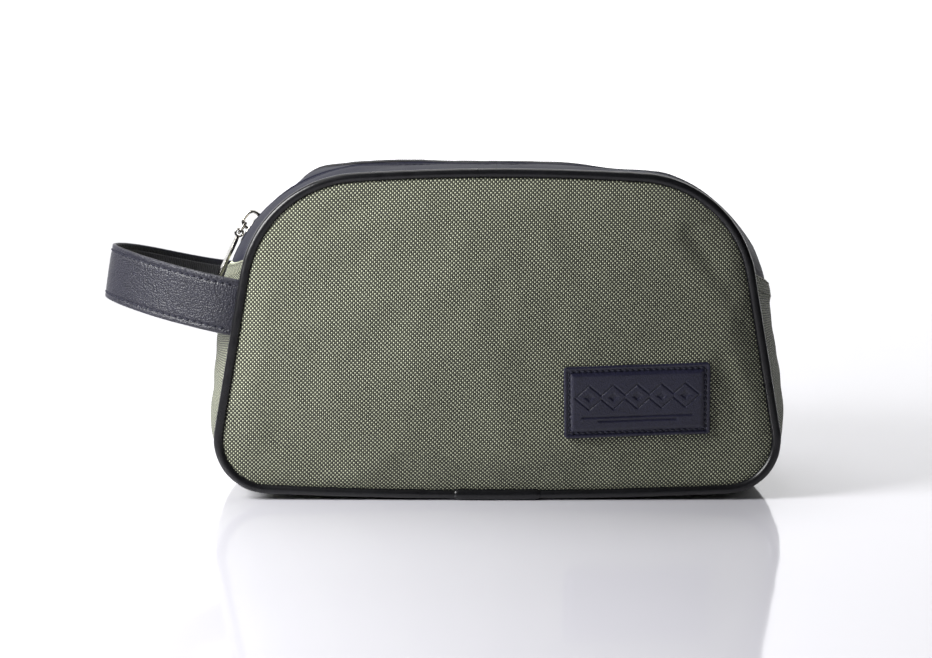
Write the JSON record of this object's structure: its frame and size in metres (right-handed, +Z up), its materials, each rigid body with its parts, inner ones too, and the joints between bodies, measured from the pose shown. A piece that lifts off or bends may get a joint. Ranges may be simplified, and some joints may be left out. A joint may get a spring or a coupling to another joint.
{
  "type": "zipped toiletry pouch",
  "caption": "Padded toiletry pouch with crowned panels in piping, a zip band with an arched slider, a base strip, a side wrist loop and a stitched patch.",
  "frame": {"origin": "centre of the flat underside of the base strip, on the plane the pouch stands on", "axes": "+X to the right as seen from the front panel, away from the wrist loop; +Z up; -Y to the front, where the patch is"},
  "size_m": [0.313, 0.1258, 0.1467],
  "materials": {
    "olive_cloth": "coarse plain weave",
    "dark_leather": "smooth, satin",
    "navy_leather": "fine pebble grain, satin",
    "patch_leather": "fine pebble grain, satin",
    "foam": "soft padding",
    "lining": "plain lining cloth",
    "board": "stiff board",
    "nickel": "polished",
    "webbing": "ribbed webbing",
    "zip_tape": "woven tape and spiral"
  },
  "bodies": {
    "pouch": {"back_foam": "foam", "back_lining": "lining", "back_panel": "olive_cloth", "back_piping": "dark_leather", "back_piping_joint": "dark_leather", "back_seam_binding": "zip_tape", "band_back_left": "navy_leather", "band_back_right": "navy_leather", "band_front_left": "navy_leather", "band_front_right": "navy_leather", "base_board": "board", "bottom_stop": "nickel", "front_foam": "foam", "front_lining": "lining", "front_panel": "olive_cloth", "front_piping": "dark_leather", "front_piping_joint": "dark_leather", "front_seam_binding": "zip_tape", "gusset": "olive_cloth", "gusset_lining": "lining", "leather_patch": "patch_leather", "strap_root_back": "navy_leather", "strap_root_front": "navy_leather", "top_stop_back": "nickel", "top_stop_front": "nickel", "zip_coil_back_left": "zip_tape", "zip_coil_back_right": "zip_tape", "zip_coil_front_left": "zip_tape", "zip_coil_front_right": "zip_tape", "zip_tape_back_left": "zip_tape", "zip_tape_back_right": "zip_tape", "zip_tape_front_left": "zip_tape", "zip_tape_front_right": "zip_tape"},
    "front_flap": {"band_front_mid": "navy_leather", "zip_coil_front_mid": "zip_tape", "zip_tape_front_mid": "zip_tape"},
    "back_flap": {"band_back_mid": "navy_leather", "zip_coil_back_mid": "zip_tape", "zip_tape_back_mid": "zip_tape"},
    "slider": {"slider_body": "nickel", "slider_crown": "nickel"},
    "pull_link": {"pull_link": "nickel"},
    "pull_tab": {"pull_tab": "nickel"},
    "wrist_loop": {"strap_leather": "navy_leather", "strap_webbing": "webbing"}
  },
  "joints": [
    {"name": "front_flap_hinge", "type": "hinge", "parent": "pouch", "child": "front_flap", "pos_m": [0, -0.0472, 0.14403], "axis": [1, 0, 0], "range_deg": [0, 80]},
    {"name": "back_flap_hinge", "type": "hinge", "parent": "pouch", "child": "back_flap", "pos_m": [0, 0.0472, 0.14403], "axis": [-1, 0, 0], "range_deg": [0, 80]},
    {"name": "slider_travel", "type": "hinge", "parent": "pouch", "child": "slider", "pos_m": [-0.05575, 0, 0.07503], "axis": [0, 1, 0], "range_deg": [0, 47.5]},
    {"name": "pull_link_hinge", "type": "hinge", "parent": "slider", "child": "pull_link", "pos_m": [-0.11514, 0, 0.11833], "axis": [0, 1, 0], "range_deg": [0, 120]},
    {"name": "pull_tab_hinge", "type": "hinge", "parent": "pull_link", "child": "pull_tab", "pos_m": [-0.1182, 0, 0.11388], "axis": [0, 1, 0], "range_deg": [0, 70]},
    {"name": "wrist_loop_swing", "type": "hinge", "parent": "pouch", "child": "wrist_loop", "pos_m": [-0.1323, 0, 0.08838], "axis": [0, 1, 0], "range_deg": [-40, 45]}
  ]
}
